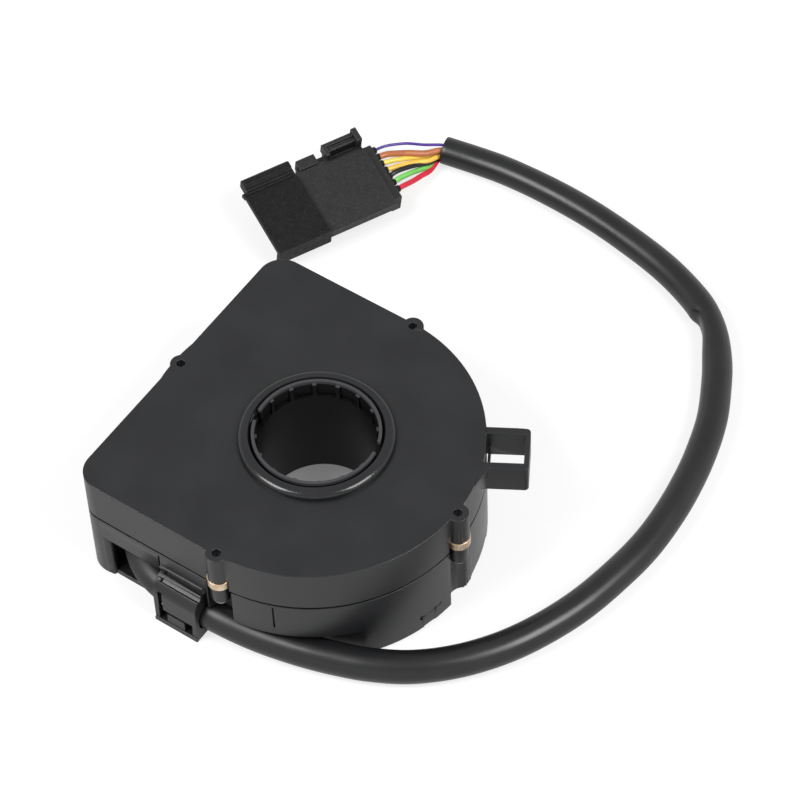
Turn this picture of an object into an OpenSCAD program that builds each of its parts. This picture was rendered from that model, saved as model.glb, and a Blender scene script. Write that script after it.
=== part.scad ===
// Steering angle sensor for the lower steering column, with its cable and connector.
// Origin: the bore axis at the plane the sensor rests on. +Z runs up the bore, +X points
// to the round end of the housing, and the cable leaves on the -Y side.

/* [Housing] */
// Half the width of the housing, also the radius of its round end
body_half_w = 40; // [38:0.5:44]
// How far the centre of the round end lies from the bore axis
round_end_x = -1; // [-4:0.5:0]
// Where the flat end of the housing lies
flat_edge_x = -40.5; // [-46:0.5:-40]
// Radius of the two corners at the flat end
corner_r = 6; // [5:0.5:9]
// Wall thickness of both casings
wall = 2; // [1.6:0.1:2.4]
// Height of the housing from its foot to the top of the cover
body_h = 34; // [33:0.5:40]
// Height of the parting line between the two casings
seam_z = 21.5; // [21.5:0.5:23]
// Width of the dark parting gap
seam_gap = 0.7; // [0.4:0.1:1]
// Thickness of the cover's top plate
top_t = 2.2; // [1.8:0.1:2.8]
// Thickness of the floor
floor_t = 2; // [1.6:0.1:3]

/* [Screw bosses] */
// How far the circle of the four screw bosses lies inside the half width
boss_inset = 0.8; // [0:0.1:1.4]
// Diameter of the cover's screw columns
boss_d = 5.2; // [5:0.1:6]
// Diameter of the scallop that runs down the wall below each column
scallop_d = 6.8; // [6.6:0.1:7.6]
// Height of the underside of the cover's columns
column_foot_z = 25.2; // [25:0.2:27]
// Length of the brass bushing between the two casings
bushing_h = 2.4; // [2:0.2:3]
// Diameter of the brass bushing, which stands out beyond the column
bushing_d = 5.7; // [5.2:0.1:6]
// Length of the base's screw post
post_h = 5.6; // [3:0.2:6]
// Diameter of the screw's shank
screw_d = 1.9; // [1.5:0.1:2.2]

/* [Bore and rotor] */
// Diameter of the bore that takes the steering shaft
bore_d = 27.5; // [24:0.5:28]
// Outer diameter of the rotor's tube
rotor_d = 30.3; // [30:0.1:31]
// How far the rotor's rim stands above the cover
rim_rise = 2.2; // [1:0.2:4]
// Number of places for ribs and slots round the rotor's rim
rib_places = 16; // [8:2:20]
// Angle of the first drive slot
slot_angle = 15; // [0:5:60]
// Width of the drive slots
slot_w = 3; // [2:0.5:4]
// Height of the rotor's lower end above the resting plane
rotor_foot_z = 4.8; // [3:0.2:6]
// Radial running clearance of the rotor in its bearing rings
run_fit = 0.08; // [0.04:0.01:0.1]
// Width of the raised collar round the bore
collar_w = 2.55; // [2.4:0.05:4]
// Radius of the collar's rounded crest
collar_round = 1.6; // [1.2:0.1:1.8]

/* [Measuring gears] */
// Tooth size: pitch diameter divided by the number of teeth
gear_module = 0.8; // [0.76:0.01:0.84]
// Teeth on the rotor
rotor_teeth = 50; // [49:1:52]
// Teeth on the first measuring gear
gear_a_teeth = 18; // [16:1:19]
// Teeth on the second measuring gear
gear_b_teeth = 20; // [17:1:20]
// Angle at which the first measuring gear stands
gear_a_angle = 145; // [140:1:150]
// Angle at which the second measuring gear stands
gear_b_angle = 203; // [198:1:206]
// Thickness of all three gears
gear_h = 3; // [2.6:0.2:3.4]
// Diameter of the gears' axle pins
axle_d = 3; // [2:0.2:3.6]

/* [Torque lug] */
// Direction in which the lug points
lug_angle = 30.5; // [22:0.5:38]
// How far the lug's middle lies beside the centre of the round end
lug_shift = -1.7; // [-4:0.1:2]
// Reach of the lug from the centre of the round end
lug_reach = 50.1; // [48:0.1:54]
// Width of the lug across its window
lug_w = 11.8; // [10:0.2:14]
// Height of the lug
lug_h = 8; // [6:0.5:9]
// Thickness of the lug's side walls
lug_side_t = 1.8; // [1.4:0.1:2.2]

/* [Cable] */
// Sheath diameter where it leaves the housing
sheath_d_near = 8.4; // [8:0.1:8.5]
// Sheath diameter at the connector
sheath_d_far = 7.2; // [7:0.1:7.4]
// Diameter of the thick wire
thick_wire_d = 1.6; // [1.4:0.1:1.7]
// Diameter of the ordinary wires
wire_d = 1.4; // [1.2:0.1:1.5]
// Diameter of the thin wire
thin_wire_d = 0.9; // [0.7:0.1:1.2]

/* [Connector] */
// Length of the rear block, from the seam to its rear edge
block_len = 19; // [18:0.5:21]
// Width of the rear block's top face
block_w = 17.9; // [17:0.1:19]
// Thickness of the rear block
block_h = 8.5; // [8:0.1:9.5]
// Length of the mating shell
shell_len = 15; // [14:0.5:18]
// How far the shell's top stands above the block's
shell_step = 0.8; // [0.4:0.1:1.2]
// Depth of the mating cavity
socket_depth = 11; // [10:0.5:13]
// Spacing of the seven contacts
contact_pitch = 2.1; // [1.9:0.05:2.15]

/* [Hidden] */
$fn = 64;
eps = 0.01;

black = "#232326";
BOSS_ANGLES = [0, 90, 180, 270];

// Casings: heights, and the lip of the base that fits inside the cover's skirt
cover_foot_z = seam_z + seam_gap / 2;
base_top_z = seam_z - seam_gap / 2;
lip_t = 1.1;
lip_fit = 0.25;
lip_h = 2.4;
lip_root = 3;
foot_rise = 0.8;
foot_inset = 0.5;
foot_h = 0.6;

// Shallow marks in the round wall: start angle, end angle, lower and upper height
WALL_MARKS = [[-12.6, -9.3, 4.9, 5.6], [-17.8, -12.5, 4.75, 5.05], [-18.7, -17.7, 3.9, 5.6],
    [-17.2, -12.2, -1, 1], [8, 26, -1, 2], [-69.2, -68.7, 12.4, 20.4]];
mark_depth = 0.6;

// Screw stack, from the cover's column down to the screw's head
boss_ring_r = body_half_w - boss_inset;
scallop_wall = 1.5;
scallop_out = 1;
post_d = 4.6;
post_top_z = column_foot_z - bushing_h;
post_foot_z = post_top_z - post_h;
bushing_fit = 0.25;
screw_head_d = 4;
screw_head_h = 0.6;
screw_socket_d = 1.6;
screw_socket_h = 0.4;
screw_top_z = body_h - 2.6;
screw_fit = 0.05;
web_w = 3;
web_reach = 3.4;

// Rotor, its two bearing rings and the collar
rotor_top_z = body_h + rim_rise;
rim_t = 0.75;
rim_d = rotor_d - 2 * rim_t;
rim_depth = 5;
slot_depth = 5.6;
rib_w = 1;
rib_drop = 0.6;
rib_inset = 0.1;
rib_root = 0.5;
land_h = 1.2;
groove_w = 0.8;
collar_bore_d = rotor_d + 2 * groove_w;
collar_d = collar_bore_d + 2 * collar_w;
collar_h = 1.9;
bearing_z = 6;
bearing_h = 3.7;
bearing_wall = 1.5;
floor_hole_d = rotor_d + 4.3;
thrust_gap = 0.2;
gear_z = bearing_z + bearing_h + thrust_gap;
shoulder_d = rotor_d + 4.6;
shoulder_h = 4.4;
shoulder_top_z = body_h - top_t - 0.3;

// Gear train
tooth_top = 0.75 * gear_module;
tooth_depth = 1.1 * gear_module;
tooth_half = 0.2 * PI * gear_module;
flank_slope = 0.42;
mesh_gap = 0.1;
rotor_pitch_r = gear_module * rotor_teeth / 2;
gear_a_r = gear_module * gear_a_teeth / 2;
gear_b_r = gear_module * gear_b_teeth / 2;
gear_a_at = (rotor_pitch_r + gear_a_r + mesh_gap) * [cos(gear_a_angle), sin(gear_a_angle)];
gear_b_at = (rotor_pitch_r + gear_b_r + mesh_gap) * [cos(gear_b_angle), sin(gear_b_angle)];
axle_fit = 0.05;
axle_post_d = axle_d + 3;
gear_web = 0.6;
pin_gap = 0.2;
magnet_d = 6;
magnet_h = 2;
magnet_fit = 0.05;
cup_wall = 0.8;
cup_h = 1.4;

// Circuit board, what stands on it, and the posts that carry it
board_t = 1.6;
chip_gap = 0.6;
chip_h = 1.2;
board_z = gear_z + gear_h + magnet_h + chip_gap + chip_h;
board_top_z = board_z + board_t;
board_inset = wall + lip_fit + lip_t + 1.2;
board_hole_d = rotor_d + 4;
board_notch_r = 0.4;
board_holes = [[-30, 26.5], [18, 24], [18, -19]];
board_post_d = 5;
board_screw_d = 1.6;
board_screw_l = 8;
chip_size = 5;
controller_at = [-10, 22];
controller_size = [9, 9, 1.6];
capacitor_at = [7, -29.5];
capacitor_step = [5.4, 1.6];
capacitor_d = 4.6;
capacitor_h = 6;
header_at = [-30, -31.5];
header_size = [16, 5, 6];

// Cable pocket and tunnel on the -Y side
shelf_t = 1.4;
shelf_back = 1.2;
jamb_r = 2;
pocket_roof_z = 14.8;
pocket_wall = 1.6;
tunnel_h = 9.8;
clamp_left = -17;
clamp_right = -4.4;
side_y = -body_half_w;
POCKET = [[-32, -60], [-32, -38], [-36, -34], [-27.5, -25.5], [-20, -33], [-4, -33], [-4, -60]];
TUNNEL = [[-4.2, -60], [-4.2, -33], [4.5, -33], [13, -31.2], [24, -28], [36, -23], [60, -23],
    [60, -60]];

// Snap clamp: outline, wall, and the grooves, slots and latch tongue of its strap
clamp_wall = 1.2;
clamp_fit = 0.2;
clamp_ridge_z = 16;
clamp_ridge_out = 0.4;
clamp_ridge_h = 0.8;
clamp_x0 = clamp_left + clamp_fit;
clamp_x1 = clamp_right - clamp_fit;
clamp_front_y = side_y - 4;
clamp_back_y = side_y + 1.4;
clamp_inner_y = side_y + 6.6;
clamp_bend_r = 4.6;
clamp_bend = [clamp_front_y + clamp_bend_r, clamp_ridge_z - 0.8 - clamp_bend_r];
clamp_floor_t = 1.4;
clamp_bore_r = sheath_d_near / 2 + 0.3;
clamp_rib_t = 1;
GROOVES = [[100, 1, 0.5], [124, 1, 0.7]];
strap_slot_x = 1.4;
strap_slot_w = 1.1;
strap_slot_z = 12;
tongue_w = 5;
tongue_h = 4.5;
window_w = 9.6;
window_h = 5.4;
foot_bar_h = 1.2;
foot_bar_out = 0.3;

// Centreline of the sheath, from inside the housing to the connector
SHEATH = [[-34.5, -27, 8.4], [-29.5, -32, 8.4], [-26.5, -34.8, 8.1], [-23, -37, 7.5],
    [-19, -38.2, 6.7], [-14, -38.5, 6], [-8, -38.5, 5.8], [-1, -38.1, 5.3], [6, -37.2, 4.7],
    [13, -35.9, 4.4], [20, -34.2, 4.3], [27, -32, 4.2], [34, -29.3, 4.2], [42, -24.8, 4.2],
    [49.5, -18.2, 4.2], [56, -10, 4.2], [61, -0.8, 4.2], [65, 10, 4.2], [67.5, 21, 4.2],
    [69, 33, 4.1], [68.8, 45, 4.1], [67.2, 57, 4], [65.2, 66, 4], [62.5, 74.5, 4],
    [59, 82, 4], [54.8, 89.5, 3.9], [49.5, 96.5, 3.9], [43.5, 101.8, 3.9], [37, 105.3, 3.8],
    [28, 108.6, 3.8], [17, 111.2, 3.8], [4, 113.3, 3.8], [-10, 114.2, 3.8], [-22, 113.8, 3.9],
    [-31, 112.5, 4.1], [-39, 110.8, 4.6]];
sheath_sides = 12;
wire_sides = 8;
grommet_at = concat((POCKET[2] + POCKET[3]) / 2 + pocket_wall / 2 * [-1, 1] / sqrt(2), SHEATH[0].z);
grommet_fit = 0.1;
grommet_wall = 0.9;
grommet_flange_t = 0.7;
grommet_flange_w = 0.25;
grommet_seat_d = sheath_d_near + 2 * (grommet_fit + grommet_wall + grommet_fit);

// Connector: turned and tilted as it came to rest, its near lower edge on the resting plane
conn_at = [-47.9, 70.7, 0];
conn_turn = 63.5;
conn_tilt = 12;
side_h = 2.2;
undercut = 3.2;
conn_drop = undercut * sin(conn_tilt);
body_far_y = block_w + 2.4;
slope_drop = 1.5;
collar_len = 2.6;
collar_top_z = block_h - 1.9;
shell_w = block_w - 1;
hood_t = 1.4;
hood_reach = 3.2;
shell_floor_t = 1.4;
skirt_h = 5.3;
rail_y = [19.4, 23.6];
rail_x = [-13.8, 1];
rail_h = 3.4;
socket_y = [4.8, body_far_y - 1.6];
socket_z = [shell_floor_t, block_h + shell_step - hood_t];
contact_y = (undercut + body_far_y) / 2;
contact_z = 4.6;
contact_w = 0.64;
contact_reach = 4.4;
contact_root = 5;

// Wires: colour, then the centreline from the connector to the end of the sheath
WIRE_VIOLET = [[-53.1, 97.4, 8.4], [-51.7, 100.4, 8.2], [-48.1, 106.1, 6.8], [-43.5, 110.4, 5.2],
    [-39.3, 112.4, 4.6]];
WIRE_BROWN = [[-51.2, 96.5, 8], [-49.8, 99.4, 8], [-46.2, 103.4, 7.6], [-43, 108.3, 7],
    [-39.2, 111.8, 6.2]];
WIRE_YELLOW = [[-49.4, 95.5, 7.5], [-48, 98.4, 7.3], [-45, 103, 5.8], [-42.2, 108.4, 4.9],
    [-39, 110.8, 4.6]];
WIRE_AMBER = [[-47.5, 94.6, 7.1], [-46.1, 97.5, 6.9], [-43.4, 101.4, 5.5], [-40.4, 105.9, 4.8],
    [-38.7, 109.2, 4.6]];
WIRE_BLACK = [[-45.7, 93.7, 6.6], [-44.4, 96.5, 6.8], [-42, 100.2, 7], [-40.6, 105.6, 6.6],
    [-38.8, 110, 6.2]];
WIRE_GREEN = [[-43.9, 92.8, 6.2], [-42.9, 95.7, 5.8], [-41.8, 101.2, 4], [-42, 108, 3.2],
    [-39.2, 111.6, 3]];
WIRE_RED = [[-42, 91.9, 5.8], [-41.1, 94.9, 5.4], [-40.3, 100.5, 4], [-39.2, 104.6, 3.3],
    [-38.8, 109.8, 3]];

// D-shaped plan of the housing, drawn the given distance inside its outer wall
module plan(inset) {
    r = body_half_w - inset;
    c = corner_r > inset + 0.8 ? corner_r - inset : 0.8;
    left = flat_edge_x + inset;
    translate([round_end_x, 0]) circle(r, $fn = 96);
    translate([left, c - r]) square([round_end_x - left, 2 * (r - c)]);
    translate([left + c, -r]) square([round_end_x - left - c, 2 * r]);
    for (side = [-1, 1]) {
        translate([left + c, side * (r - c)]) circle(c);
    }
}

// Upright wall that follows the plan between two insets
module plan_wall(outer, inner, z0, z1) {
    translate([0, 0, z0]) linear_extrude(z1 - z0) difference() {
        plan(outer);
        plan(inner);
    }
}

// Solid slab of the plan
module plan_slab(inset, z0, z1) {
    translate([0, 0, z0]) linear_extrude(z1 - z0) plan(inset);
}

// Tube between two heights, open through its middle
module ring(d_out, d_in, z0, z1) {
    translate([0, 0, z0]) difference() {
        cylinder(d = d_out, h = z1 - z0);
        translate([0, 0, -1]) cylinder(d = d_in, h = z1 - z0 + 2);
    }
}

// Cylinder between two heights
module rod(d, z0, z1) {
    translate([0, 0, z0]) cylinder(d = d, h = z1 - z0);
}

// Copies at the four screw bosses, the given distance from the bore axis
module at_bosses(r = boss_ring_r) {
    for (angle = BOSS_ANGLES) {
        rotate(angle) translate([r, 0, 0]) children();
    }
}

// Copies at the screws of the circuit board
module at_board_screws() {
    for (place = board_holes) {
        translate([place.x, place.y, 0]) children();
    }
}

// Closed outline moved outward by t on every side, for points that run clockwise
function unit(v) = v / norm(v);
function side_normal(a, b) = unit([a.y - b.y, b.x - a.x]);
function grown(points, t) = [
    for (i = [0 : len(points) - 1])
        let (n = len(points), a = points[(i + n - 1) % n], b = points[i], c = points[(i + 1) % n],
            n1 = side_normal(a, b), n2 = side_normal(b, c))
        b + t * (n1 + n2) / (1 + n1 * n2)
];

// Round tube swept along a route, its diameter running evenly from d0 to d1
function route_tangent(route, i) =
    unit(route[min(i + 1, len(route) - 1)] - route[max(i - 1, 0)]);
function route_ring(route, i, r, sides) =
    let (t = route_tangent(route, i), n = unit(cross(t, [0, 0, 1])), up = cross(n, t))
    [for (k = [0 : sides - 1])
        route[i] + r * (cos(k * 360 / sides) * n + sin(k * 360 / sides) * up)];
function ring_r(d0, d1, i, last) = (d0 + (d1 - d0) * i / last) / 2;
module swept_tube(route, d0, d1, sides) {
    last = len(route) - 1;
    points = [for (i = [0 : last]) each route_ring(route, i, ring_r(d0, d1, i, last), sides)];
    start_cap = [for (k = [sides - 1 : -1 : 0]) k];
    end_cap = [for (k = [0 : sides - 1]) last * sides + k];
    skin = [
        for (i = [0 : last - 1], k = [0 : sides - 1])
            let (a = i * sides + k, b = i * sides + (k + 1) % sides)
            each [[a, b, b + sides], [a, b + sides, a + sides]]
    ];
    polyhedron(points, concat([start_cap, end_cap], skin));
}

// Spur gear outline with straight-flanked teeth, one tooth centred on +X
module gear_outline(teeth, pitch_r) {
    root_r = pitch_r - tooth_depth;
    tip_r = pitch_r + tooth_top;
    root_half = tooth_half + flank_slope * tooth_depth;
    tip_half = tooth_half - flank_slope * tooth_top;
    circle(root_r);
    for (i = [0 : teeth - 1]) {
        rotate(i * 360 / teeth) polygon([[root_r - 0.4, -root_half], [root_r, -root_half],
            [tip_r, -tip_half], [tip_r, tip_half], [root_r, root_half], [root_r - 0.4, root_half]]);
    }
}

// Turn that brings a gap of a measuring gear onto the rotor tooth that faces it
function rotor_tooth_near(angle) = round(angle * rotor_teeth / 360) * 360 / rotor_teeth;
function mesh_turn(angle, teeth) =
    angle + 180 + (angle - rotor_tooth_near(angle)) * rotor_teeth / teeth + 180 / teeth;

// Upper casing: top plate, skirt, raised collar, screw columns and torque lug
module collar_profile() {
    crest_r = collar_d / 2 - collar_round;
    crest_z = body_h + collar_h - collar_round;
    translate([crest_r, crest_z]) circle(collar_round);
    translate([collar_bore_d / 2, body_h - top_t]) square([crest_r - collar_bore_d / 2,
        top_t + collar_h]);
    translate([crest_r, body_h - top_t]) square([collar_round, top_t + collar_h - collar_round]);
}

module lug_frame() {
    inner_wall_x = body_half_w + 0.3;
    inner_wall_t = 0.6;
    inner_wall_h = 3;
    end_wall_t = 1.2;
    edge_r = 1;
    at_lug() {
        difference() {
            linear_extrude(lug_h) union() {
                translate([body_half_w - 2, -lug_w / 2])
                    square([lug_reach - edge_r - body_half_w + 2, lug_w]);
                translate([lug_reach - edge_r - eps, edge_r - lug_w / 2])
                    square([edge_r + eps, lug_w - 2 * edge_r]);
                for (side = [-1, 1]) {
                    translate([lug_reach - edge_r, side * (lug_w / 2 - edge_r)]) circle(edge_r);
                }
            }
            translate([body_half_w - 3, lug_side_t - lug_w / 2, -1])
                cube([lug_reach - end_wall_t - body_half_w + 3, lug_w - 2 * lug_side_t, lug_h + 2]);
        }
        translate([inner_wall_x, -lug_w / 2 + 0.5, 0])
            cube([inner_wall_t, lug_w - 1, inner_wall_h]);
        lug_gusset();
    }
}

// Places its children at the root of the lug, x along the lug and z from its underside
module at_lug() {
    translate([round_end_x, 0, 0]) rotate(lug_angle) translate([0, lug_shift, body_h - lug_h])
        children();
}

// Wedge in the corner between the wall and the near side of the lug
module lug_gusset() {
    side = 0.1 - lug_w / 2;
    root = body_half_w - 1.8;
    tip = [root, side - 5, lug_h];
    points = [tip, [body_half_w + 1.3, side, lug_h], [body_half_w + 0.2, side, 0],
        [root, side, lug_h], [root, side, 0]];
    polyhedron(points, [[0, 3, 1], [1, 3, 4, 2], [3, 0, 4], [0, 1, 2], [0, 2, 4]]);
}

module cover_shell() {
    difference() {
        union() {
            plan_slab(0, body_h - top_t, body_h);
            plan_wall(0, wall, cover_foot_z, body_h);
            at_bosses() rod(boss_d, column_foot_z, body_h);
            lug_frame();
        }
        rod(collar_bore_d + 2, body_h - top_t - 1, body_h + 1);
        at_bosses() rod(bushing_d + 2 * bushing_fit, cover_foot_z - 1, column_foot_z);
        at_bosses() rod(screw_d + 2 * screw_fit, column_foot_z - 1, body_h + 1);
    }
}

module top_cover() color(black) union() {
    cover_shell();
    rotate_extrude() collar_profile();
    ring(collar_bore_d + 1, rotor_d + 2 * run_fit, body_h - top_t, body_h - top_t + land_h);
}

// Lower casing: side wall, floor, lip, scallops, cable pocket and the carriers inside
module base_shell() {
    difference() {
        union() {
            plan_wall(0, wall, 0, base_top_z);
            plan_slab(wall - eps, foot_rise, foot_rise + floor_t);
            plan_wall(wall - eps, wall + lip_fit + lip_t, base_top_z - lip_root, base_top_z);
            plan_wall(wall + lip_fit, wall + lip_fit + lip_t, base_top_z - eps,
                cover_foot_z + lip_h);
            intersection() {
                plan_slab(0, 0, base_top_z);
                at_bosses(boss_ring_r + scallop_out) rod(scallop_d + 2 * scallop_wall, 0, base_top_z);
            }
            intersection() {
                plan_slab(wall + lip_fit, base_top_z - eps, cover_foot_z + lip_h);
                at_bosses() rod(bushing_d + 2 * (bushing_fit + lip_t), 0, body_h);
            }
            translate([clamp_left, side_y - clamp_ridge_out, clamp_ridge_z])
                cube([clamp_right - clamp_left - clamp_ridge_out, wall, clamp_ridge_h]);
            intersection() {
                plan_slab(0, 0, base_top_z);
                union() {
                    linear_extrude(pocket_roof_z + pocket_wall)
                        polygon(grown(POCKET, pocket_wall));
                    linear_extrude(tunnel_h + pocket_wall) polygon(grown(TUNNEL, pocket_wall));
                }
            }
            rod(floor_hole_d + 2 * floor_t, 0, bearing_z + floor_t);
        }
        at_bosses(boss_ring_r + scallop_out) rod(scallop_d, -1, base_top_z + eps);
        at_bosses() rod(bushing_d + 2 * bushing_fit, post_top_z, body_h);
        at_bosses() rod(screw_d + 2 * screw_fit, post_foot_z - 1, body_h);
        rod(floor_hole_d, -1, bearing_z);
        rod(rotor_d + 2 * run_fit, 0, body_h);
        translate([0, 0, shelf_t]) linear_extrude(pocket_roof_z - shelf_t) polygon(POCKET);
        translate([0, 0, -1]) linear_extrude(tunnel_h + 1) polygon(TUNNEL);
        pocket_cuts();
        wall_cuts();
    }
}

// Cuts in the pocket: the clamp's place and recess, the shelf's set-back front, the rounded
// jamb, the fine parting line beside the clamp and the grommet's seat
module pocket_cuts() {
    clamp_len = clamp_right - clamp_left;
    translate([clamp_left, side_y - 5, -1]) cube([clamp_len, 5 + wall + 5, shelf_t + 2]);
    translate([clamp_left, side_y - 5, pocket_roof_z - 2])
        cube([clamp_len, 5 + wall + 0.4, clamp_ridge_z - pocket_roof_z + 2]);
    translate([POCKET[0].x, side_y - 1, -1])
        cube([clamp_left - POCKET[0].x + eps, shelf_back + 1, shelf_t + 2]);
    translate([POCKET[0].x, side_y, -1]) linear_extrude(pocket_roof_z + 1) difference() {
        translate([-jamb_r, -1]) square([jamb_r + eps, jamb_r + 1]);
        translate([-jamb_r, jamb_r]) circle(jamb_r);
    }
    translate([clamp_left - 0.3, side_y - 1, pocket_roof_z - 1])
        cube([0.3, 1.5, base_top_z - pocket_roof_z]);
    at_grommet() cylinder(d = grommet_seat_d, h = pocket_wall + 2, center = true);
}

// Rebate round the foot, and the shallow marks in the round wall
module wall_cuts() {
    plan_wall(-1, foot_inset, -1, foot_h);
    for (mark = WALL_MARKS) {
        width = body_half_w * (mark[1] - mark[0]) * PI / 180;
        translate([round_end_x, 0, mark[2]]) rotate((mark[0] + mark[1]) / 2)
            translate([body_half_w - mark_depth, -width / 2, 0])
            cube([mark_depth + 1, width, mark[3] - mark[2]]);
    }
}

module at_grommet() {
    translate(grommet_at) rotate([90, 0, 45]) children();
}

module screw_posts() {
    at_bosses() difference() {
        union() {
            rod(post_d, post_foot_z, post_top_z);
            translate([-web_reach, -web_w / 2, post_foot_z])
                cube([web_reach, web_w, base_top_z - post_foot_z]);
        }
        rod(screw_d + 2 * screw_fit, post_foot_z - 1, post_top_z + 1);
    }
}

module gear_axle(place) {
    translate([place.x, place.y, 0]) {
        rod(axle_post_d, foot_rise, gear_z - thrust_gap);
        rod(axle_d, foot_rise, gear_z + gear_h - gear_web - pin_gap);
    }
}

module base_housing() color(black) union() {
    base_shell();
    screw_posts();
    ring(rotor_d + 2 * (run_fit + bearing_wall), rotor_d + 2 * run_fit, bearing_z,
        bearing_z + bearing_h);
    gear_axle(gear_a_at);
    gear_axle(gear_b_at);
    at_board_screws() difference() {
        rod(board_post_d, foot_rise, board_z);
        rod(board_screw_d + 2 * screw_fit, board_top_z - board_screw_l - 0.5, board_z + 1);
    }
}

// Snap clamp that holds the cable against the base
module along_x(x0, x1) {
    translate([x0, 0, 0]) rotate([90, 0, 90]) linear_extrude(x1 - x0) children();
}

module clamp_outline(inset) {
    intersection() {
        translate(clamp_bend) circle(clamp_bend_r - inset);
        translate([clamp_front_y, 0]) square([clamp_back_y - clamp_front_y, clamp_ridge_z]);
    }
    translate([clamp_front_y + inset, 0])
        square([clamp_back_y - clamp_front_y - inset, clamp_bend.y]);
}

// Window either side of the latch tongue, the slot beside the strap and the hinge grooves
module clamp_cuts() {
    mid_x = (clamp_x0 + clamp_x1) / 2;
    difference() {
        translate([mid_x - window_w / 2, clamp_front_y - 1, clamp_floor_t])
            cube([window_w, clamp_wall + 1.5, window_h - clamp_floor_t]);
        translate([mid_x - tongue_w / 2, clamp_front_y - 1, 0])
            cube([tongue_w, clamp_wall + 1, tongue_h]);
    }
    translate([clamp_x0 + strap_slot_x, clamp_front_y - 1, window_h - 1])
        cube([strap_slot_w, clamp_wall + 1.5, strap_slot_z - window_h + 1]);
    for (groove = GROOVES) {
        along_x(clamp_x0 + strap_slot_x, clamp_x1 + 1) translate(clamp_bend) rotate(groove[0])
            translate([clamp_bend_r - groove[2], -groove[1] / 2]) square([2, groove[1]]);
    }
}

module cable_clamp() color("#26272a") difference() {
    union() {
        along_x(clamp_x0, clamp_x1) difference() {
            clamp_outline(0);
            clamp_outline(clamp_wall);
        }
        along_x(clamp_x0, clamp_x1)
            translate([clamp_front_y, 0]) square([clamp_inner_y - clamp_front_y, clamp_floor_t]);
        along_x(clamp_x0, clamp_x1)
            translate([clamp_front_y - foot_bar_out, 0]) square([clamp_wall, foot_bar_h]);
        for (x = [clamp_x0, clamp_x1 - clamp_rib_t]) {
            along_x(x, x + clamp_rib_t) difference() {
                clamp_outline(0.2);
                translate([SHEATH[5].y, SHEATH[5].z]) circle(clamp_bore_r);
                translate([SHEATH[5].y, 0])
                    square([clamp_inner_y - SHEATH[5].y, SHEATH[5].z + clamp_bore_r]);
            }
        }
    }
    clamp_cuts();
}

// Rotor that the steering shaft turns: tube, drive rim, shoulder and gear ring
module rotor_body() {
    rotate_extrude() polygon([
        [0, rotor_foot_z], [rotor_d / 2, rotor_foot_z],
        [rotor_d / 2, shoulder_top_z - shoulder_h - 1],
        [shoulder_d / 2, shoulder_top_z - shoulder_h], [shoulder_d / 2, shoulder_top_z],
        [rotor_d / 2, shoulder_top_z], [rotor_d / 2, rotor_top_z], [0, rotor_top_z]
    ]);
    translate([0, 0, gear_z]) linear_extrude(gear_h) gear_outline(rotor_teeth, rotor_pitch_r);
}

module rim_ribs() {
    for (i = [1 : rib_places / 2 - 1], half = [0, 180]) {
        rotate(slot_angle + half + i * 360 / rib_places)
            translate([bore_d / 2 + rib_inset, -rib_w / 2, rotor_top_z - rim_depth - rib_root])
            cube([(rotor_d - bore_d) / 2 - rib_inset - 0.3, rib_w, rim_depth + rib_root - rib_drop]);
    }
}

module rotor_hub() color("#1c1c1f") union() {
    difference() {
        rotor_body();
        rod(bore_d, 0, body_h + rim_rise + 1);
        rod(rim_d, rotor_top_z - rim_depth, rotor_top_z + 1);
        rotate(slot_angle) translate([-rotor_d, -slot_w / 2, rotor_top_z - slot_depth])
            cube([2 * rotor_d, slot_w, slot_depth + 1]);
    }
    rim_ribs();
}

// Measuring gear with a blind bore for its axle pin and a cup for its magnet
module measuring_gear(place, angle, teeth, pitch_r) {
    translate([place.x, place.y, gear_z]) difference() {
        union() {
            rotate(mesh_turn(angle, teeth)) linear_extrude(gear_h) gear_outline(teeth, pitch_r);
            rod(magnet_d + 2 * (magnet_fit + cup_wall), 0, gear_h + cup_h);
        }
        rod(axle_d + 2 * axle_fit, -1, gear_h - gear_web);
        rod(magnet_d + 2 * magnet_fit, gear_h, gear_h + cup_h + 1);
    }
}

module measuring_gear_a() color("ivory")
    measuring_gear(gear_a_at, gear_a_angle, gear_a_teeth, gear_a_r);

module measuring_gear_b() color("ivory")
    measuring_gear(gear_b_at, gear_b_angle, gear_b_teeth, gear_b_r);

module magnet(place) {
    translate([place.x, place.y, 0]) rod(magnet_d, gear_z + gear_h, gear_z + gear_h + magnet_h);
}

module magnet_a() color("dimgray") magnet(gear_a_at);

module magnet_b() color("dimgray") magnet(gear_b_at);

// Circuit board with room for the rotor and the screw bosses
module circuit_board() color("darkgreen") difference() {
    plan_slab(board_inset, board_z, board_top_z);
    rod(board_hole_d, board_z - 1, board_top_z + 1);
    at_bosses(boss_ring_r + scallop_out)
        rod(scallop_d + 2 * (scallop_wall + board_notch_r), board_z - 1, board_top_z + 1);
    at_board_screws() rod(board_screw_d + 2 * screw_fit, board_z - 1, board_top_z + 1);
}

module angle_chip(place) {
    translate([place.x - chip_size / 2, place.y - chip_size / 2, board_z - chip_h])
        cube([chip_size, chip_size, chip_h]);
}

module angle_chip_a() color("#303034") angle_chip(gear_a_at);

module angle_chip_b() color("#303034") angle_chip(gear_b_at);

module microcontroller() color("#303034")
    translate(concat(controller_at, board_top_z)) cube(controller_size);

module capacitors() color("silver") {
    for (i = [0 : 2]) {
        translate(capacitor_at + i * capacitor_step)
            rod(capacitor_d, board_top_z, board_top_z + capacitor_h);
    }
}

module terminal_header() color("#d8d4c8")
    translate(concat(header_at, board_top_z)) cube(header_size);

module board_screws() color("silver") at_board_screws() {
    rod(board_screw_d, board_top_z - board_screw_l, board_top_z);
    rod(2 * board_screw_d, board_top_z, board_top_z + 1.2);
}

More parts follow.
